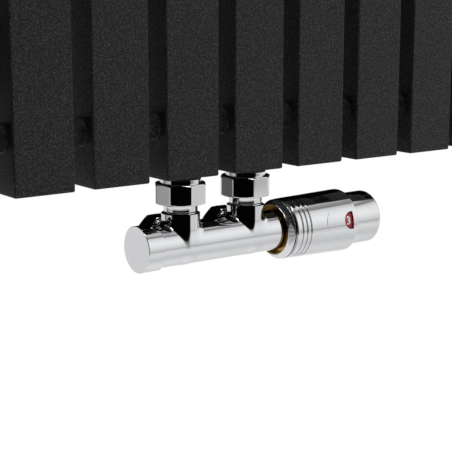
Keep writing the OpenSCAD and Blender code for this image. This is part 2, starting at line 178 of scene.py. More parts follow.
class Graph:
    """A node tree, built one call at a time."""

    def __init__(self, tree):
        self.tree = tree
        self.tree.nodes.clear()

    def node(self, kind, settings=None, sockets=None, output=0):
        """Adds a node: its settings first, then values or links for its sockets."""
        made = self.tree.nodes.new(kind)
        for key, value in (settings or {}).items():
            if key == "stops":
                self.set_stops(made.color_ramp, value)
            else:
                setattr(made, key, value)
        for key, value in (sockets or {}).items():
            if isinstance(value, Value):
                self.tree.links.new(value.socket, made.inputs[key])
            else:
                made.inputs[key].default_value = value
        return Value(self, made.outputs[output]) if len(made.outputs) else None

    @staticmethod
    def set_stops(ramp, stops):
        while len(ramp.elements) < len(stops):
            ramp.elements.new(1)
        for element, (position, shade) in zip(ramp.elements, stops):
            element.position = position
            element.color = (shade, shade, shade, 1)

    def place(self):
        return self.node("ShaderNodeTexCoord", output="Object")

    def noise(self, size, detail=2.0, stretch=(1, 1, 1)):
        """Noise whose grains are about size metres across."""
        spread = tuple(s / size for s in stretch)
        where = self.node("ShaderNodeMapping", {}, {"Vector": self.place(), "Scale": spread})
        return self.node("ShaderNodeTexNoise", {},
                         {"Vector": where, "Scale": 1.0, "Detail": detail, "Roughness": 0.55})

    def split(self, vector):
        """The X, Y and Z of a vector."""
        parts = self.node("ShaderNodeSeparateXYZ", {}, {"Vector": vector})
        return [Value(self, socket) for socket in parts.socket.node.outputs]

    def step(self, value, start, end):
        """Rises smoothly from 0 to 1 between two values."""
        limits = {"Value": value, "From Min": start, "From Max": end}
        return self.node("ShaderNodeMapRange", {"interpolation_type": "SMOOTHSTEP"}, limits)

    def band(self, value, low, high, soft):
        """1 between two values, and 0 beyond them."""
        rise = self.step(value, low - soft, low + soft)
        return rise * (1 - self.step(value, high - soft, high + soft))

    def ramp(self, value, stops):
        return self.node("ShaderNodeValToRGB", {"stops": stops}, {"Fac": value})

    def mix(self, share, low, high):
        """A colour between two others."""
        made = {"Factor": share, 6: low, 7: high}
        return self.node("ShaderNodeMix", {"data_type": "RGBA"}, made, output=2)

    def bump(self, height, distance, strength):
        sockets = {"Height": height, "Distance": distance, "Strength": strength}
        return self.node("ShaderNodeBump", {}, sockets)

    def surface(self, **sockets):
        """A Principled surface on the output. Underscores in names stand for spaces."""
        named = {key.replace("_", " "): value for key, value in sockets.items()}
        shader = self.node("ShaderNodeBsdfPrincipled", {}, named)
        self.node("ShaderNodeOutputMaterial", {}, {"Surface": shader})


def rgba(colour):
    return (*colour, 1.0)


def new_finish(name):
    material = bpy.data.materials.new(name)
    material.use_nodes = True
    return material, Graph(material.node_tree)


def powder_coat(coat):
    """Fine-textured matte powder coat: a dark ground, a sandy relief, and a paler colour painted on its
    raised grains and small glints as highlights.
    """
    material, g = new_finish("black_powder_coat")
    grains = g.noise(coat.grain, 3.0)
    # Painted highlights: the tops of the raised grains and small glints get the paler colour. The broad
    # noise is random tone.
    painted_grain_highlights = g.ramp(grains, [(0.48, 0.0), (0.62, 1.0)])
    broad = g.noise(0.03, 1.0)
    painted_glints = g.ramp(g.noise(coat.grain * 0.6, 1.0), [(0.55, 0.0), (0.66, 1.0)])
    share = painted_grain_highlights * 0.6 + painted_glints * 0.6 + (broad - 0.5) * 0.1
    relief = g.bump(grains + painted_glints * 0.3, 0.00022, 0.85)
    g.surface(Base_Color=g.mix(share, rgba(coat.colour), rgba(coat.painted_highlight_colour)),
              Roughness=0.62 - painted_glints * 0.2, Normal=relief, Specular_IOR_Level=0.32)
    return material


def polished_chrome(look):
    """Chrome plate over polished brass: faint waviness and a little haze from handling."""
    material, g = new_finish("polished_chrome")
    haze = g.ramp(g.noise(0.012, 4.0), [(0.42, 0.0), (0.75, 1.0)])
    lines = g.noise(0.0016, 1.0, stretch=(0.04, 1, 1))
    waves = g.bump(g.noise(0.009, 1.0), 0.00004, 0.35)
    shade = g.mix(haze * 0.5, rgba(look.chrome), rgba([c * 0.93 for c in look.chrome]))
    g.surface(Base_Color=shade, Metallic=1.0, Roughness=0.035 + haze * 0.045 + lines * 0.01,
              Normal=waves)
    return material


def satin_chrome(look):
    """The collar's plate, a little duller than the rest and brushed along the valve."""
    material, g = new_finish("satin_chrome")
    brush = g.noise(0.0007, 2.0, stretch=(0.15, 1, 1))
    darker = [c * 0.98 for c in look.chrome]
    paler = [c * 1.2 for c in look.chrome]
    shade = g.mix(g.noise(0.006, 2.0), rgba(darker), rgba(paler))
    g.surface(Base_Color=shade, Metallic=1.0, Roughness=0.13 + brush * 0.12,
              Normal=g.bump(brush, 0.00006, 0.5))
    return material


def turned_brass(look):
    """Bare brass with the fine rings that a lathe leaves, and a trace of tarnish."""
    material, g = new_finish("turned_brass")
    rings = g.noise(0.0005, 1.0, stretch=(1, 0.03, 0.03))
    tarnish = g.noise(0.012, 2.0)
    shade = g.mix(tarnish, rgba(look.brass), rgba([c * 0.72 for c in look.brass]))
    g.surface(Base_Color=shade, Metallic=1.0, Roughness=0.20 + tarnish * 0.08 + rings * 0.04,
              Normal=g.bump(rings, 0.00002, 0.4))
    return material


def mottled(name, size, detail, low, high, rough, gain, relief=None, **sockets):
    """A finish whose colour and roughness follow one noise, between two colours.

    Relief is its grain, depth and strength. A grain of 0 takes the same noise again.
    """
    material, g = new_finish(name)
    mottle = g.noise(size, detail)
    if relief:
        grain, depth, strength = relief
        sockets["Normal"] = g.bump(g.noise(grain) if grain else mottle, depth, strength)
    g.surface(Base_Color=g.mix(mottle, rgba(low), rgba(high)), Roughness=rough + mottle * gain, **sockets)
    return material


FINISHES = {}


def finish(name):
    """Each finish is made once, when it is first asked for."""
    coat = bpy.context.scene.radiator_coat
    look = bpy.context.scene.valve_finish
    bright_red = [c * 1.35 for c in look.scale]
    makers = {
        "black_coat": lambda: powder_coat(coat),
        "chrome": lambda: polished_chrome(look),
        "satin_chrome": lambda: satin_chrome(look),
        "brass": lambda: turned_brass(look),
        "rubber": lambda: mottled(
            "seal_rubber", 0.003, 3.0, (0.012, 0.012, 0.012), (0.035, 0.035, 0.036), 0.7, 0.15,
            relief=(0.0004, 0.00005, 0.4)),
        "steel": lambda: mottled(
            "plated_steel", 0.004, 4.0, (0.36, 0.37, 0.38), (0.55, 0.55, 0.54), 0.28, 0.2,
            relief=(0, 0.00005, 0.3), Metallic=1.0),
        "white_plastic": lambda: mottled(
            "moulded_white", 0.005, 3.0, (0.68, 0.68, 0.65), (0.78, 0.78, 0.76), 0.45, 0.15,
            relief=(0.0006, 0.00004, 0.3)),
        "red_plastic": lambda: mottled(
            "scale_red", 0.004, 2.0, look.scale, bright_red, 0.3, 0.1,
            relief=(0.0008, 0.00002, 0.3)),
        "numerals": lambda: mottled(
            "numeral_white", 0.0009, 2.0, (0.86, 0.84, 0.82), (0.95, 0.95, 0.94), 0.4, 0.1),
        "floor": lambda: mottled(
            "pale_floor", 0.6, 2.0, (0.90, 0.90, 0.90), (0.93, 0.93, 0.93), 0.85, 0.1,
            Specular_IOR_Level=0.1),
    }
    if name not in FINISHES:
        FINISHES[name] = makers[name]()
    return FINISHES[name]


# ---- mesh helpers ----


def add_object(name, mesh):
    piece = bpy.data.objects.new(name, mesh)
    bpy.context.scene.collection.objects.link(piece)
    return piece


def settle(piece, slot, body, nodes=(), material=None):
    """Gives a finished piece its material, its body and the CAD nodes that it stands for."""
    piece.data.materials.clear()
    piece.data.materials.append(finish(material or slot))
    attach(piece, body)
    if nodes:
        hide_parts(*nodes)
    return piece


def even_shading(piece):
    """Smooth shading in which broad faces keep their own direction. Gives the piece back."""
    piece.data.shade_smooth()
    weigh = piece.modifiers.new("even_shading", "WEIGHTED_NORMAL")
    weigh.mode = "FACE_AREA"
    weigh.weight = 80
    weigh.keep_sharp = True
    return piece


def circle_angles(count):
    return np.linspace(0, 2 * math.pi, count, endpoint=False)


def ring_solid(name, rows, angles, centre, along):
    """A closed skin through rings of points: rows of (position along the axis, radius).

    A radius is a number, or one number for each angle. Angle 0 faces the room, or left
    on an axis that runs to the wall. A quarter turn faces up, or right on an upright axis.
    """
    ways = {
        "x": ((1, 0, 0), (0, -1, 0), (0, 0, 1)),
        "y": ((0, 1, 0), (-1, 0, 0), (0, 0, 1)),
        "z": ((0, 0, 1), (0, -1, 0), (1, 0, 0)),
    }
    forward, u, v = (np.array(way, float) for way in ways[along])
    count = len(angles)
    points, rings = [], []
    for position, radius in rows:
        on_axis = np.isscalar(radius) and radius == 0
        spokes = np.zeros(1) if on_axis else np.broadcast_to(radius, (count,))
        turn = np.zeros(1) if on_axis else angles
        rings.append((len(points), on_axis))
        for r, a in zip(spokes, turn):
            spoke = r * (math.cos(a) * u + math.sin(a) * v)
            points.append(np.array(centre) + forward * position + spoke)
    faces = []
    for (first, first_dot), (second, second_dot) in zip(rings, rings[1:] + rings[:1]):
        if first_dot and second_dot:
            continue
        for i in range(count):
            n = (i + 1) % count
            corner = [first if first_dot else first + i, first if first_dot else first + n,
                      second if second_dot else second + n, second if second_dot else second + i]
            faces.append(list(dict.fromkeys(corner)))
    mesh = bpy.data.meshes.new(name)
    mesh.from_pydata([tuple(p) for p in points], [], faces)
    skin = bmesh.new()
    skin.from_mesh(mesh)
    bmesh.ops.recalc_face_normals(skin, faces=skin.faces)
    skin.to_mesh(mesh)
    skin.free()
    return add_object(name, mesh)


def rounded(outline, segments=4):
    """Rounds a closed outline: (position, radius, rounding) for each corner."""
    smooth = []
    total = len(outline)
    for i, (position, radius, rounding) in enumerate(outline):
        here = Vector((position, radius))
        before = Vector(outline[i - 1][:2]) - here
        after = Vector(outline[(i + 1) % total][:2]) - here
        if rounding == 0:
            smooth.append((position, radius))
            continue
        half = before.angle(after) / 2
        back = rounding / math.tan(half)
        start = here + before.normalized() * back
        end = here + after.normalized() * back
        inward = (before.normalized() + after.normalized()).normalized()
        centre = here + inward * rounding / math.sin(half)
        first, last = start - centre, end - centre
        sweep = first.angle(last)
        for step in range(segments + 1):
            share = step / segments
            arm = first * math.sin((1 - share) * sweep) + last * math.sin(share * sweep)
            smooth.append(tuple(centre + arm / math.sin(sweep)))
    return smooth


def lathe(name, outline, centre, along="x", steps=160, segments=4):
    angles = circle_angles(steps)
    return even_shading(ring_solid(name, rounded(outline, segments), angles, centre, along))


def soft_min(a, b, softness):
    """The lower of two values, with the change from one to the other rounded."""
    share = np.clip(0.5 + 0.5 * (b - a) / softness, 0, 1)
    return b * (1 - share) + a * share - softness * share * (1 - share)


def flat_sided(angles, across, sides, turn, edge):
    """Radius of a nut's outline at each angle, its corners slightly rounded."""
    sector = 2 * math.pi / sides
    offset = (angles - turn + sector / 2) % sector - sector / 2
    radius = across / 2 / np.cos(offset)
    corner = across / 2 / math.cos(sector / 2)
    return soft_min(radius, np.full_like(radius, corner - edge * 0.3), edge)


def nut_angles(sides, turn, per_side=28):
    """Angles round a nut, crowded towards its corners."""
    sector = 2 * math.pi / sides
    steps = np.linspace(-1, 1, per_side, endpoint=False)
    crowded = np.sin(steps * math.pi / 2)
    return np.concatenate([turn + (k + crowded / 2) * sector for k in range(sides)])


def nut(name, low, high, across, turn, bore, centre, along):
    """An eight-sided nut with turned chamfers, a rounded mouth and a clean bore."""
    sides, corner_edge, chamfer_edge = 8, 0.35 * MM, 0.25 * MM
    angles = nut_angles(sides, turn)
    outline = flat_sided(angles, across, sides, turn, corner_edge)
    length = high - low
    rows = []
    depths = [0, 0.12, 0.3, 0.6, 0.9, 1.2, 1.6, 2.2]
    steps = [d * MM for d in depths] + [length / 2] + [length - d * MM for d in reversed(depths)]
    for step in steps:
        inset = min(step, length - step)
        rim = 0.12 * MM * math.exp(-inset / (0.1 * MM))
        cone = across / 2 - 0.25 * MM + 2.0 * inset - rim
        rows.append((low + step, soft_min(outline, np.full_like(outline, cone), chamfer_edge)))
    mouth = [(high, bore + 0.5 * MM), (high - 0.15 * MM, bore + 0.15 * MM), (high - 0.5 * MM, bore),
             (low + 0.5 * MM, bore), (low + 0.15 * MM, bore + 0.15 * MM), (low, bore + 0.5 * MM)]
    return even_shading(ring_solid(name, rows + mouth, angles, centre, along))


def join(name, pieces):
    """Makes one piece of several shells."""
    graph = bpy.context.evaluated_depsgraph_get()
    whole = bmesh.new()
    for piece in pieces:
        part = bpy.data.meshes.new_from_object(piece.evaluated_get(graph))
        whole.from_mesh(part)
    mesh = bpy.data.meshes.new(name)
    whole.to_mesh(mesh)
    whole.free()
    for piece in pieces:
        bpy.data.objects.remove(piece)
    return add_object(name, mesh)


# ---- the pieces ----


class RADIATOR_OT_tubes(bpy.types.Operator):
    """Makes the upright tubes, with rounded edges"""

    bl_idname = "radiator.tubes"
    bl_label = "Tubes"

    def execute(self, context):
        edge = context.scene.radiator_coat.edge
        for node in TUBES:
            low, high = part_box(node)
            block = bmesh.new()
            bmesh.ops.create_cube(block, size=1)
            for corner in block.verts:
                reach = [corner.co[i] * (high - low)[i] for i in range(3)]
                corner.co = Vector([(low + high)[i] / 2 + reach[i] for i in range(3)])
            bmesh.ops.bevel(block, geom=block.edges[:], offset=edge, segments=5, profile=0.5,
                            affect="EDGES")
            mesh = bpy.data.meshes.new("radiator_" + node)
            block.to_mesh(mesh)
            block.free()
            piece = add_object("radiator_" + node, mesh)
            even_shading(piece)
            settle(piece, "black_coat", BODY, [node])
        return {"FINISHED"}


class RADIATOR_OT_nipples(bpy.types.Operator):
    """Makes the round nipples between the tubes, with a weld at each end"""

    bl_idname = "radiator.nipples"
    bl_label = "Nipples"

    def execute(self, context):
        for row in ("lower_nipples", "upper_nipples"):
            low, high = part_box(row)
            radius = (high.z - low.z) / 2
            weld, wall = 1.3 * MM, 2 * MM
            bars = []
            for left, right in zip(TUBES, TUBES[1:]):
                start, end = span(left, 0)[1], span(right, 0)[0]
                centre = (0, (low.y + high.y) / 2, (low.z + high.z) / 2)
                outline = [(start, radius + weld, 0)]
                flare = [(math.cos(a), math.sin(a)) for a in np.linspace(0, math.pi / 2, 6)[1:-1]]
                for c, s in flare:
                    outline.append((start + weld * (1 - c), radius + weld * (1 - s), 0))
                outline.append((start + weld, radius, 0))
                outline.append((end - weld, radius, 0))
                for c, s in reversed(flare):
                    outline.append((end - weld * (1 - c), radius + weld * (1 - s), 0))
                outline.append((end, radius + weld, 0))
                outline.append((end, radius - wall, 0))
                outline.append((start, radius - wall, 0))
                bars.append(lathe(row + "_bar", outline, centre, steps=64))
            piece = even_shading(join(row + "_welded", bars))
            settle(piece, "black_coat", BODY, [row])
        return {"FINISHED"}


class RADIATOR_OT_bosses(bpy.types.Operator):
    """Makes the coated bosses under the middle tubes and behind the end tubes"""

    bl_idname = "radiator.bosses"
    bl_label = "Bosses"

    def execute(self, context):
        low, high = span("valve_bosses", 2)
        tube_end = span(TUBES[0], 2)[0]
        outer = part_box("valve_bosses")[1].x - PORT_X
        bore, weld = 9.6 * MM, 0.9 * MM
        sunk = bore + 1.9 * MM
        shells = []
        for side in (-1, 1):
            outline = [(low, bore, 0), (low, outer, 0.6 * MM), (tube_end - weld, outer, 0.4 * MM),
                       (tube_end, outer + weld, 0), (tube_end, sunk, 0), (high, sunk, 0), (high, bore, 0)]
            shells.append(lathe("boss", outline, (side * PORT_X, AXIS_Y, 0), "z", steps=96))
        piece = even_shading(join("valve_bosses_coated", shells))
        settle(piece, "black_coat", BODY, ["valve_bosses"])

        low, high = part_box("rear_bosses")
        height = (low.z + high.z) / 2
        outer = (high.z - low.z) / 2
        shells = []
        for node in (TUBES[0], TUBES[-1]):
            outline = [(low.y, bore, 0), (low.y, outer + weld, 0), (low.y + weld, outer, 0.4 * MM),
                       (high.y, outer, 0.6 * MM), (high.y, bore, 0.2 * MM)]
            shells.append(lathe("rear_boss", outline, (middle(node).x, 0, height), "y", steps=96))
        piece = even_shading(join("rear_bosses_coated", shells))
        settle(piece, "black_coat", BODY, ["rear_bosses"])
        return {"FINISHED"}


class RADIATOR_OT_valve_casting(bpy.types.Operator):
    """Makes the valve body: a barrel that flows into its four branches, and its turned ends"""

    bl_idname = "radiator.valve_casting"
    bl_label = "Valve body"

    def execute(self, context):
        low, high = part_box("valve_body")
        cap_end = span("lockshield_cap", 0)[1]
        barrel_r = AXIS_Z - low.z
        nut_low = span("union_nut_left", 2)[0]
        shapes = {
            "barrel": barrel_r, "riser": barrel_r - 1.2 * MM, "feed": barrel_r - 2.0 * MM,
            "blend": context.scene.valve_finish.blend,
        }
        groove = nut_low - 6.0 * MM  # where the necks' vee grooves start
        rear_face = AXIS_Y + 16 * MM  # where the rear branches end and their threads start
        skin = self.blended_skin(shapes, cap_end, high.x, groove, rear_face)
        shells = [skin, self.stub(low.x, cap_end)]
        for side in (-1, 1):
            shells.append(self.neck(side * PORT_X, groove, nut_low, high.z, barrel_r))
            shells.append(self.pipe_socket(side * PORT_X, rear_face, high.y, barrel_r))
        piece = self.gather(shells)
        settle(piece, "chrome", BODY, ["valve_body"])
        return {"FINISHED"}

    @staticmethod
    def gather(shells):
        """Joins the shells and keeps each one's own shading."""
        graph = bpy.context.evaluated_depsgraph_get()
        parts = [bpy.data.meshes.new_from_object(s.evaluated_get(graph)) for s in shells]
        for old in shells:
            bpy.data.objects.remove(old)
        objects = [add_object("shell", part) for part in parts]
        with bpy.context.temp_override(active_object=objects[0], selected_editable_objects=objects,
                                       selected_objects=objects, object=objects[0]):
            bpy.ops.object.join()
        whole = objects[0]
        whole.name = "valve_casting"
        whole.data.name = "valve_casting"
        return whole

    @staticmethod
    def distance(points, shapes):
        """Distance from the blended surface, and its direction, for an array of points."""
        def field(p):
            barrel = np.hypot(p[:, 1], p[:, 2]) - shapes["barrel"]
            total = barrel
            for side in (-1, 1):
                x = p[:, 0] - side * PORT_X
                down = np.minimum(p[:, 2], 0)
                riser = np.sqrt(x ** 2 + p[:, 1] ** 2 + down ** 2) - shapes["riser"]
                front = np.minimum(p[:, 1], 0)
                feed = np.sqrt(x ** 2 + p[:, 2] ** 2 + front ** 2) - shapes["feed"]
                total = soft_min(total, riser, shapes["blend"])
                total = soft_min(total, feed, shapes["blend"])
            return total

        local = points - np.array(AXIS)
        value = field(local)
        step = 1e-5
        slope = np.stack([(field(local + step * e) - field(local - step * e)) / (2 * step)
                          for e in np.eye(3)], axis=1)
        size = np.linalg.norm(slope, axis=1, keepdims=True)
        return value, slope / np.maximum(size, 1e-9), size[:, 0]

    def blended_skin(self, shapes, left, right, top, rear):
        """The smooth part, cut square where the turned parts begin."""
        over = 3 * MM

        def rough_bar(start, end, radius, centre, along):
            rows = [(start, 0), (start, radius), (end + over, radius), (end + over, 0)]
            return ring_solid("rough", rows, circle_angles(96), centre, along)

        rough = [rough_bar(left - over, right, shapes["barrel"], AXIS, "x")]
        for side in (-1, 1):
            x = side * PORT_X
            rough.append(rough_bar(AXIS_Z, top, shapes["riser"], (x, AXIS_Y, 0), "z"))
            rough.append(rough_bar(AXIS_Y, rear, shapes["feed"], (x, 0, AXIS_Z), "y"))
        block = join("rough_block", rough)
        remesh = block.modifiers.new("remesh", "REMESH")
        remesh.mode = "VOXEL"
        remesh.voxel_size = 0.55 * MM
        graph = bpy.context.evaluated_depsgraph_get()
        mesh = bpy.data.meshes.new_from_object(block.evaluated_get(graph))
        bpy.data.objects.remove(block)

        points = np.zeros(len(mesh.vertices) * 3)
        mesh.vertices.foreach_get("co", points)
        points = points.reshape(-1, 3)
        pairs = np.zeros(len(mesh.edges) * 2, int)
        mesh.edges.foreach_get("vertices", pairs)
        pairs = pairs.reshape(-1, 2)
        degree = np.bincount(pairs.ravel(), minlength=len(points))[:, None]
        for _ in range(12):
            total = np.zeros_like(points)
            np.add.at(total, pairs[:, 0], points[pairs[:, 1]])
            np.add.at(total, pairs[:, 1], points[pairs[:, 0]])
            move = total / degree - points
            value, way, size = self.distance(points, shapes)
            move -= way * np.sum(move * way, axis=1, keepdims=True)
            points = points + 0.5 * move
            value, way, size = self.distance(points, shapes)
            points = points - way * (value / np.maximum(size, 0.3))[:, None]
        mesh.vertices.foreach_set("co", points.ravel())

        block = bmesh.new()
        block.from_mesh(mesh)
        cuts = [((left, 0, 0), (-1, 0, 0)), ((right, 0, 0), (1, 0, 0)),
                ((0, 0, top), (0, 0, 1)), ((0, rear, 0), (0, 1, 0))]
        for place, way in cuts:
            bmesh.ops.bisect_plane(block, geom=block.verts[:] + block.edges[:] + block.faces[:],
                                   dist=1e-7, plane_co=place, plane_no=way, clear_outer=True)
            rim = [e for e in block.edges if e.is_boundary]
            bmesh.ops.holes_fill(block, edges=rim, sides=0)
        block.to_mesh(mesh)
        block.free()
        piece = add_object("skin", mesh)
        self.true_normals(mesh, shapes)
        return piece

    def true_normals(self, mesh, shapes):
        """Shades the skin by the blended surface itself, and its cut ends flat."""
        mesh.shade_smooth()
        points = np.zeros(len(mesh.vertices) * 3)
        mesh.vertices.foreach_get("co", points)
        _, way, _ = self.distance(points.reshape(-1, 3), shapes)
        normals = np.zeros((len(mesh.loops), 3))
        for face in mesh.polygons:
            flat = face.loop_total > 8
            for loop in face.loop_indices:
                vertex = mesh.loops[loop].vertex_index
                normals[loop] = face.normal if flat else way[vertex]
        mesh.normals_split_custom_set([tuple(n) for n in normals])

    @staticmethod
    def stub(start, end):
        radius, bore = 11 * MM, 9 * MM
        outline = [(start, bore, 0.2 * MM), (start, radius, 0.5 * MM), (end + MM, radius, 0),
                   (end + MM, bore, 0)]
        return lathe("stub", outline, AXIS)

    @staticmethod
    def neck(x, groove, nut_low, top, barrel_r):
        """Vee groove, polished neck and the collar that sits inside the nut."""
        wide, slim, bore, collar = barrel_r - 1.2 * MM, barrel_r - 2.6 * MM, 8 * MM, 12.4 * MM
        ring = groove + 1.1 * MM
        collar_low = nut_low + 3 * MM
        outline = [(groove - MM, bore, 0), (groove - MM, wide - 0.5 * MM, 0),
                   (groove, wide - 0.5 * MM, 0), (groove, wide, 0.35 * MM),
                   (groove + 0.7 * MM, slim - 0.5 * MM, 0.2 * MM),
                   (ring + 0.5 * MM, slim, 0.4 * MM), (collar_low, slim, 0),
                   (collar_low, collar, 0), (top, collar, 0.2 * MM), (top, bore, 0.2 * MM)]
        return lathe("neck", outline, (x, AXIS_Y, 0), "z")

    @staticmethod
    def pipe_socket(x, rear_face, end, barrel_r):
        """Threaded end that takes a pipe from the wall."""
        wide, thread, bore, pitch = barrel_r - 2.0 * MM, 10.3 * MM, 7.6 * MM, 1.4 * MM
        root = thread - 0.6 * MM
        outline = [(rear_face - 2 * MM, 0, 0), (rear_face - 2 * MM, wide - MM, 0),
                   (rear_face, wide - MM, 0), (rear_face, wide, 0.3 * MM),
                   (rear_face + 0.8 * MM, root, 0)]
        place = rear_face + 1.2 * MM
        while place < end - 1.2 * MM:
            outline.append((place, root, 0))
            outline.append((place + 0.7 * MM, thread, 0.1 * MM))
            place += pitch
        outline += [(end - 0.6 * MM, root, 0), (end, thread - 1.0 * MM, 0),
                    (end, bore, 0.4 * MM), (rear_face - 1.5 * MM, bore, 0), (rear_face - 1.5 * MM, 0, 0)]
        return lathe("socket", outline, (x, 0, AXIS_Z), "y", segments=2)


class RADIATOR_OT_union_nuts(bpy.types.Operator):
    """Makes the two eight-sided union nuts and the turned tails that show above them"""

    bl_idname = "radiator.union_nuts"
    bl_label = "Union nuts"

    def execute(self, context):
        across, nut_bore = 30.7 * MM, 10.65 * MM
        turns = {"union_nut_left": math.radians(12), "union_nut_right": math.radians(3)}
        for node, body in (("union_nut_left", "left_union"), ("union_nut_right", "right_union")):
            low, high = span(node, 2)
            place = (middle(node).x, AXIS_Y, 0)
            piece = nut(node + "_turned", low, high, across, turns[node], nut_bore, place, "z")
            settle(piece, "chrome", body, [node])
        low, high = span("union_tails", 2)
        nut_top = span("union_nut_left", 2)[1]
        boss_low = span("valve_bosses", 2)[0]
        flange, ring, thread, bore = 13.1 * MM, 12.8 * MM, 9.5 * MM, 8 * MM
        shells = []
        for side in (-1, 1):
            outline = [(low, bore, 0.3 * MM), (low, flange, 0.3 * MM), (nut_top - 0.3 * MM, flange, 0),
                       (nut_top + 0.2 * MM, ring, 0.15 * MM), (boss_low, ring, 0.3 * MM),
                       (boss_low, thread, 0), (high, thread, 0.4 * MM), (high, bore, 0.3 * MM)]
            shells.append(lathe("tail", outline, (side * PORT_X, AXIS_Y, 0), "z"))
        piece = even_shading(join("union_tails_turned", shells))
        settle(piece, "chrome", BODY, ["union_tails"])
        return {"FINISHED"}


class RADIATOR_OT_pipe_nuts(bpy.types.Operator):
    """Makes the nuts that grip the pipes from the wall"""

    bl_idname = "radiator.pipe_nuts"
    bl_label = "Pipe nuts"

    def execute(self, context):
        nut_bore, lip_bore, lip_outer = 10.45 * MM, 7.8 * MM, 11 * MM
        for node, body in (("pipe_nut_left", "left_pipe_nut"), ("pipe_nut_right", "right_pipe_nut")):
            low, high = span(node, 1)
            bottom, top = span(node, 2)
            centre = (middle(node).x, 0, AXIS_Z)
            piece = nut(node + "_turned", low, high, top - bottom, 0.0, nut_bore, centre, "y")
            start, end = high - 1.8 * MM, high - 0.1 * MM
            outline = [(start, lip_bore, 0.3 * MM), (start, lip_outer, 0),
                       (end, lip_outer, 0), (end, lip_bore, 0.5 * MM)]
            lip = lathe(node + "_lip", outline, centre, "y", steps=96)
            piece = even_shading(join(node + "_with_lip", [piece, lip]))
            settle(piece, "chrome", body, [node])
        return {"FINISHED"}


class RADIATOR_OT_lockshield_cap(bpy.types.Operator):
    """Makes the cap over the lockshield, plain and flat-ended"""

    bl_idname = "radiator.lockshield_cap"
    bl_label = "Lockshield cap"

    def execute(self, context):
        low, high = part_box("lockshield_cap")
        radius = (high.z - low.z) / 2
        bore, floor = 11.1 * MM, low.x + 3 * MM
        outline = [(low.x, 0, 0), (low.x, radius, 0.35 * MM), (high.x, radius, 0.25 * MM),
                   (high.x, bore, 0.3 * MM), (floor, bore, 0.2 * MM), (floor, 0, 0)]
        piece = lathe("lockshield_cap_turned", outline, AXIS, steps=192)
        settle(piece, "chrome", "cap", ["lockshield_cap"])
        return {"FINISHED"}


class RADIATOR_OT_coupling(bpy.types.Operator):
    """Makes the ribbed collar and the brass nut inside it"""

    bl_idname = "radiator.coupling"
    bl_label = "Coupling"

    def execute(self, context):
        low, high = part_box("coupling_collar")
        outer = (high.z - low.z) / 2
        inner, edge = 16.5 * MM, low.x + 3.5 * MM
        core = outer - 1.9 * MM
        rib_depth = 0.16 * MM
        ribs = context.scene.valve_finish.ribs
        angles = circle_angles(ribs * 8)
        wave = 0.5 + 0.5 * np.cos(angles * ribs)
        rows = [(low.x + 0.1 * MM, inner), (low.x, inner + 0.1 * MM)]
        for share in np.linspace(0.03, 0.97, 12):
            fade = math.sin(share * math.pi) ** 0.5
            rows.append((low.x + share * (edge - low.x),
                         inner + share * (outer - inner) - rib_depth * fade * wave))
        rows += [(edge - 0.02 * MM, outer - 0.03 * MM), (edge + 0.05 * MM, outer - 0.05 * MM),
                 (edge + 0.1 * MM, outer - 0.2 * MM), (edge + 0.1 * MM, core + 0.1 * MM),
                 (edge + 0.2 * MM, core), (high.x, core), (high.x, inner)]
        piece = even_shading(ring_solid("coupling_collar_ribbed", rows, angles, AXIS, "x"))
        settle(piece, "satin_chrome", "coupling", ["coupling_collar"])

        low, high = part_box("coupling_nut")
        bore = 12.9 * MM
        web = low.x + 3.7 * MM
        lining, fit = inner - 0.8 * MM, inner - 0.02 * MM
        groove, pitch = 0.35 * MM, 0.7 * MM
        outline = [(low.x, fit, 0.1 * MM), (low.x, lining, 0.25 * MM)]
        place = low.x + 0.6 * MM
        while place < web - 0.6 * MM:
            outline += [(place, lining, 0), (place + groove, lining + groove, 0)]
            place += pitch
        outline += [(web, lining, 0.3 * MM), (web, bore, 0.3 * MM), (high.x, bore, 0.3 * MM),
                    (high.x, fit, 0.3 * MM)]
        piece = lathe("coupling_nut_turned", outline, AXIS, steps=192, segments=3)
        settle(piece, "brass", "coupling", ["coupling_nut"])
        return {"FINISHED"}


def head_outline(start, end):
    """Outer radius of the head at its two ends, from the CAD shell's box."""
    low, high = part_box("head_shell")
    wide = (high.z - low.z) / 2
    return {"start": start, "end": end, "slim": wide - 1.3 * MM, "wide": wide, "step": 1.6 * MM}


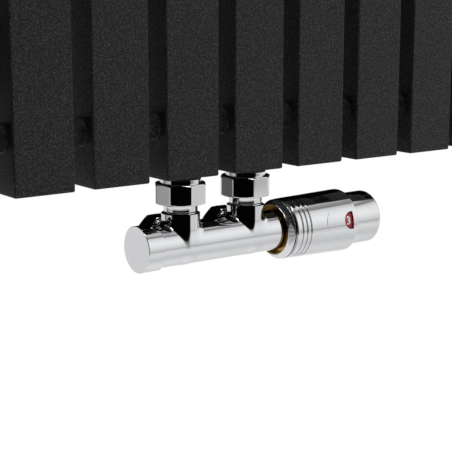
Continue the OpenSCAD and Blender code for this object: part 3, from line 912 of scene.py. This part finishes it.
class RADIATOR_OT_head_shell(bpy.types.Operator):
    """Makes the head's barrel, with its grooves, engraved outline and scale window"""

    bl_idname = "radiator.head_shell"
    bl_label = "Head barrel"

    window_turn = math.radians(10)
    grooves = (4.1, 7.6, 11.0)  # millimetres from the collar's end

    def execute(self, context):
        start, end = span("head_shell", 0)
        shape = head_outline(start, end)
        window = self.half_round(6 * MM, end - 5.9 * MM, end - 4.4 * MM)
        arch = self.arch_line(10 * MM, end - 17 * MM, end + MM)
        through, engraved = 3 * MM, 0.22 * MM
        piece = self.turned_shell(shape)
        self.cut(piece, window, shape, through)
        self.cut(piece, arch, shape, engraved)
        self.true_normals(piece.data, shape)
        settle(piece, "chrome", BODY, ["head_shell"])
        return {"FINISHED"}

    @staticmethod
    def outer(shape, x):
        share = (x - shape["start"]) / (shape["end"] - shape["step"] - shape["start"])
        return shape["slim"] + (shape["wide"] - shape["slim"]) * min(max(share, 0), 1)

    def turned_shell(self, shape):
        start, end = shape["start"], shape["end"]
        bore = shape["slim"] - 1.8 * MM
        knob_gap = 18.0 * MM
        thin = shape["wide"] - 1.1 * MM
        outline = [(start, bore, 0.2 * MM), (start, self.outer(shape, start), 0.35 * MM)]
        wide, deep = 0.5 * MM, 0.9 * MM
        for groove in self.grooves:
            x = start + groove * MM
            r = self.outer(shape, x)
            outline += [(x - wide, r, 0.18 * MM), (x - wide, r - deep, 0.15 * MM),
                        (x + wide, r - deep, 0.15 * MM), (x + wide, r, 0.18 * MM)]
        thin_start, thick_end = end - 20 * MM, end - 21.5 * MM
        outline += [(end, shape["wide"], shape["step"]), (end, knob_gap, 0.2 * MM),
                    (end - MM, knob_gap, 0), (end - MM, thin, 0), (thin_start, thin, 0),
                    (thick_end, bore, 0)]
        return ring_solid("head_shell_turned", rounded(outline, 6), circle_angles(256), AXIS, "x")

    @staticmethod
    def half_round(radius, centre, flat):
        """Outline (x, height) of a half round with its flat side towards the knob."""
        arc = np.linspace(math.pi / 2, 3 * math.pi / 2, 25)
        points = [(flat, -radius), (flat, radius)]
        points += [(centre + radius * math.cos(a), radius * math.sin(a)) for a in arc]
        return points

    @staticmethod
    def arch_line(radius, centre, flat):
        """Outline of a thin line that runs round an arch and is open at the knob's end."""
        arc = np.linspace(math.pi / 2, 3 * math.pi / 2, 37)
        thin = radius - 0.35 * MM
        points = [(flat, radius)]
        points += [(centre + radius * math.cos(a), radius * math.sin(a)) for a in arc]
        points += [(flat, -radius), (flat, -thin)]
        points += [(centre + thin * math.cos(a), thin * math.sin(a)) for a in reversed(arc)]
        points += [(flat, thin)]
        return points

    def wrap(self, shape, x, height, radius):
        angle = self.window_turn + height / shape["wide"]
        return Vector((x, AXIS_Y - radius * math.cos(angle), AXIS_Z + radius * math.sin(angle)))

    def cut(self, piece, outline, shape, depth):
        """Cuts an outline, wrapped round the head, to a depth below its surface."""
        block = bmesh.new()

        def ring_at(lift):
            places = [self.wrap(shape, x, height, self.outer(shape, x) + lift) for x, height in outline]
            return [block.verts.new(place) for place in places]

        deep, high = ring_at(-depth), ring_at(MM)
        total = len(outline)
        for i in range(total):
            n = (i + 1) % total
            block.faces.new((deep[i], deep[n], high[n], high[i]))
        for ring in (deep, high):
            rim = [block.edges.get((ring[i], ring[(i + 1) % total])) for i in range(total)]
            bmesh.ops.triangle_fill(block, edges=rim, use_beauty=True)
        bmesh.ops.recalc_face_normals(block, faces=block.faces)
        mesh = bpy.data.meshes.new("cutter")
        block.to_mesh(mesh)
        block.free()
        cutter = add_object("cutter", mesh)
        tool = piece.modifiers.new("cut", "BOOLEAN")
        tool.operation = "DIFFERENCE"
        tool.solver = "EXACT"
        tool.object = cutter
        graph = bpy.context.evaluated_depsgraph_get()
        result = bpy.data.meshes.new_from_object(piece.evaluated_get(graph))
        piece.modifiers.clear()
        piece.data = result
        bpy.data.objects.remove(cutter)

    def true_normals(self, mesh, shape):
        """Shades the turned surfaces by their own outline, and cut walls flat."""
        mesh.shade_smooth()
        mesh.set_sharp_from_angle(angle=math.radians(28))
        slope = (shape["wide"] - shape["slim"]) / (shape["end"] - shape["step"] - shape["start"])
        flat_end = shape["end"] - shape["step"] - 0.05 * MM
        normals = [None] * len(mesh.loops)
        corners = mesh.corner_normals
        for face in mesh.polygons:
            middle_x = face.center.x
            for loop in face.loop_indices:
                point = mesh.vertices[mesh.loops[loop].vertex_index].co
                out = Vector((0, point.y - AXIS_Y, point.z - AXIS_Z))
                reach = out.length
                out.normalize()
                skin = (face.normal.dot(out) > 0.995 and middle_x < flat_end
                        and abs(reach - self.outer(shape, point.x)) < 0.06 * MM)
                normals[loop] = tuple((out - Vector((slope, 0, 0))).normalized()) if skin \
                    else tuple(corners[loop].vector)
        mesh.normals_split_custom_set(normals)


class RADIATOR_OT_knob(bpy.types.Operator):
    """Makes the setting knob and the red scale with its numerals"""

    bl_idname = "radiator.knob"
    bl_label = "Knob and scale"

    settings = {"0": -150, "1": -100, "2": -50, "3": 0, "4": 50, "5": 100}  # degrees round the scale

    def execute(self, context):
        low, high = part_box("setting_knob")
        radius, wall = (high.z - low.z) / 2, 2 * MM
        outline = [(low.x, radius - wall, 0), (low.x, radius, 0), (high.x, radius, 2 * MM),
                   (high.x, 0, 0), (high.x - wall, 0, 0), (high.x - wall, radius - wall, MM)]
        piece = lathe("setting_knob_turned", outline, AXIS, steps=224, segments=8)
        settle(piece, "chrome", "knob", ["setting_knob"])

        low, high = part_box("scale_sleeve")
        outer = (high.z - low.z) / 2
        inner, lip = outer - 1.4 * MM, 15.7 * MM
        lip_start = high.x - 1.8 * MM
        outline = [(low.x, inner, 0), (low.x, outer, 0.2 * MM), (high.x, outer, 0.2 * MM),
                   (high.x, lip, 0), (lip_start, lip, 0), (lip_start, inner, 0)]
        sleeve = lathe("scale_sleeve_printed", outline, AXIS, steps=192)
        settle(sleeve, "red_plastic", "knob", ["scale_sleeve"])
        window_middle = high.x - 6.7 * MM
        for text, turn in self.settings.items():
            self.numeral(text, turn, outer, window_middle)
        return {"FINISHED"}

    @staticmethod
    def numeral(text, turn, radius, centre_x):
        """A raised numeral that reaches the window when the knob is turned to it."""
        words = bpy.data.curves.new("numeral_" + text, "FONT")
        words.body = text
        words.size = 7.4 * MM
        words.extrude = 0.03 * MM
        words.align_x = "CENTER"
        words.align_y = "CENTER"
        words.offset = 0.22 * MM
        flat = add_object("words", words)
        graph = bpy.context.evaluated_depsgraph_get()
        mesh = bpy.data.meshes.new_from_object(flat.evaluated_get(graph))
        bpy.data.objects.remove(flat)
        start = RADIATOR_OT_head_shell.window_turn + math.radians(turn)
        xs = [v.co.x for v in mesh.vertices]
        ys = [v.co.y for v in mesh.vertices]
        centre = ((min(xs) + max(xs)) / 2, (min(ys) + max(ys)) / 2)
        for vertex in mesh.vertices:
            across, up, out = vertex.co - Vector((*centre, 0))
            angle = start + up / radius
            reach = radius + 0.04 * MM + out
            vertex.co = (centre_x + across, AXIS_Y - reach * math.cos(angle),
                         AXIS_Z + reach * math.sin(angle))
        piece = add_object("scale_numeral_" + text, mesh)
        settle(piece, "red_plastic", "knob", material="numerals")


class RADIATOR_OT_carried_parts(bpy.types.Operator):
    """Gives every CAD part its finish"""

    bl_idname = "radiator.carried_parts"
    bl_label = "Carried parts"

    def execute(self, context):
        slots = {s["node"]: s["material_slot"] for s in frame["record"]["subparts"]}
        for node, part in frame["nodes"].items():
            part.data.materials.clear()
            part.data.materials.append(finish(slots[node]))
        return {"FINISHED"}


class RADIATOR_OT_studio(bpy.types.Operator):
    """Sets up the camera, the pale floor and the soft light"""

    bl_idname = "radiator.studio"
    bl_label = "Studio"

    def execute(self, context):
        setup = context.scene.studio_setup
        self.camera(context.scene, setup)
        self.floor(setup)
        self.light(context.scene, setup)
        context.scene.view_settings.view_transform = "Standard"
        return {"FINISHED"}

    @staticmethod
    def camera(scene, setup):
        beside, over = 9.7 * MM, 6.8 * MM
        aim = AXIS + Vector((beside, 0, over))
        flat = math.cos(setup.elevation)
        back = Vector((math.sin(setup.azimuth) * flat, -math.cos(setup.azimuth) * flat,
                       math.sin(setup.elevation)))
        lens = bpy.data.cameras.new("camera")
        lens.lens = setup.lens
        lens.sensor_width = 36
        lens.clip_start = 0.01
        viewer = bpy.data.objects.new("camera", lens)
        scene.collection.objects.link(viewer)
        viewer.location = aim + back * setup.distance
        viewer.rotation_euler = (-back).to_track_quat("-Z", "Y").to_euler()
        scene.camera = viewer

    @staticmethod
    def floor(setup):
        reach, thickness = 1.4, 0.01
        rows = [(-thickness, 0), (-thickness, reach), (0.0, reach), (0.0, 0)]
        centre = (0, 0, AXIS_Z - setup.floor_drop)
        ground = ring_solid("studio_floor", rows, circle_angles(96), centre, "z")
        ground.data.materials.append(finish("floor"))
        ground.visible_glossy = False

    @staticmethod
    def light(scene, setup):
        """A bright wall to the right, a pale table that is dark in front, and light from overhead.

        The camera sees plain white. The room is seen in reflections only.
        """
        world = bpy.data.worlds.new("studio_room")
        world.use_nodes = True
        scene.world = world
        g = Graph(world.node_tree)
        x, y, z = g.split(g.node("ShaderNodeTexCoord", output="Generated"))
        turn = x.maths("ARCTAN2", y * -1) / (2 * math.pi) + 0.5
        height = z * 0.5 + 0.5

        def by_height(*stops):
            """Brightness at heights from -1, straight down, to 1, straight up."""
            return g.ramp(height, [((at + 1) / 2, shade) for at, shade in stops])

        def by_turn(*stops):
            """Brightness at turns in degrees, from the front towards the right."""
            return g.ramp(turn, [(0.5 + at / 360, shade) for at, shade in stops])

        wall = by_height(
            (-0.12, 0.62), (0.0, 0.76), (0.2, 0.92), (0.4, 1.0), (0.6, 0.90), (0.70, 0.70),
            (0.725, 0.26), (0.765, 0.30), (0.815, 0.62), (0.90, 0.5), (1.0, 0.3))
        wall_side = by_turn((-180, 0), (24, 0), (29, 1), (98, 1), (103, 0), (180, 0))
        table = by_height(
            (-1.0, 0.86), (-0.85, 0.84), (-0.70, 0.66), (-0.52, 0.74), (-0.36, 0.84), (-0.2, 0.86))
        table_side = by_turn(
            (-180, 0.85), (-142, 0.87), (-139, 0.12), (-133, 0.10), (-130, 0.55), (-127, 0.2),
            (-122, 0.45), (-105, 0.62), (-90, 0.55), (-85, 0.0), (24, 0.0), (30, 0.85), (60, 0.78),
            (80, 1.0), (180, 0.85))
        line_side = by_turn((-180, 0), (26, 0), (30, 0.6), (42, 0.6), (46, 0), (180, 0))

        # The wall starts just under the horizon, above a thin dark line along the table's far edge.
        above = g.step(z, -0.135, -0.125)
        line = g.band(z, -0.168, -0.14, 0.008) * line_side
        steep = g.step(z * -1, 0.24, 0.36)
        dimmest = 0.0012
        below = table * (table_side * (1 - steep) + steep)
        glow = (above * wall * wall_side + (1 - above) * below) * (1 - line) * setup.room + dimmest
        white = (1, 1, 1, 1)
        room = g.node("ShaderNodeBackground", {}, {"Color": white, "Strength": glow})
        paper = g.node("ShaderNodeBackground", {}, {"Color": white, "Strength": 1.0})
        seen = g.node("ShaderNodeLightPath", output="Is Camera Ray")
        mixed = g.node("ShaderNodeMixShader", {}, {0: seen, 1: room, 2: paper})
        g.node("ShaderNodeOutputWorld", {}, {"Surface": mixed})

        lamp = bpy.data.lights.new("overhead", "SUN")
        lamp.energy = setup.overhead
        lamp.angle = math.radians(40)
        scene.collection.objects.link(bpy.data.objects.new("overhead", lamp))


PIECES = (RADIATOR_OT_carried_parts, RADIATOR_OT_tubes, RADIATOR_OT_nipples, RADIATOR_OT_bosses,
          RADIATOR_OT_valve_casting, RADIATOR_OT_union_nuts, RADIATOR_OT_pipe_nuts,
          RADIATOR_OT_lockshield_cap, RADIATOR_OT_coupling, RADIATOR_OT_head_shell, RADIATOR_OT_knob,
          RADIATOR_OT_studio)


class RADIATOR_PT_sidebar(bpy.types.Panel):
    """Lists the pieces and their settings"""

    bl_idname = "RADIATOR_PT_sidebar"
    bl_label = "Radiator"
    bl_space_type = "VIEW_3D"
    bl_region_type = "UI"
    bl_category = "Radiator"

    def draw(self, context):
        for piece in PIECES:
            self.layout.operator(piece.bl_idname)
        for name, group in GROUPS.items():
            box = self.layout.box()
            settings = getattr(context.scene, name)
            for prop in group.__annotations__:
                box.prop(settings, prop)


CLASSES = (*GROUPS.values(), *PIECES, RADIATOR_PT_sidebar)


def register():
    for item in CLASSES:
        bpy.utils.register_class(item)
    for name, group in GROUPS.items():
        setattr(bpy.types.Scene, name, bpy.props.PointerProperty(type=group))


def unregister():
    for name in GROUPS:
        delattr(bpy.types.Scene, name)
    for item in reversed(CLASSES):
        bpy.utils.unregister_class(item)


def main():
    register()
    for piece in PIECES:
        group, name = piece.bl_idname.split(".")
        result = getattr(getattr(bpy.ops, group), name)()
        if result != {"FINISHED"}:
            raise RuntimeError(piece.bl_label + " wasn't made")


if __name__ == "__main__":
    main()
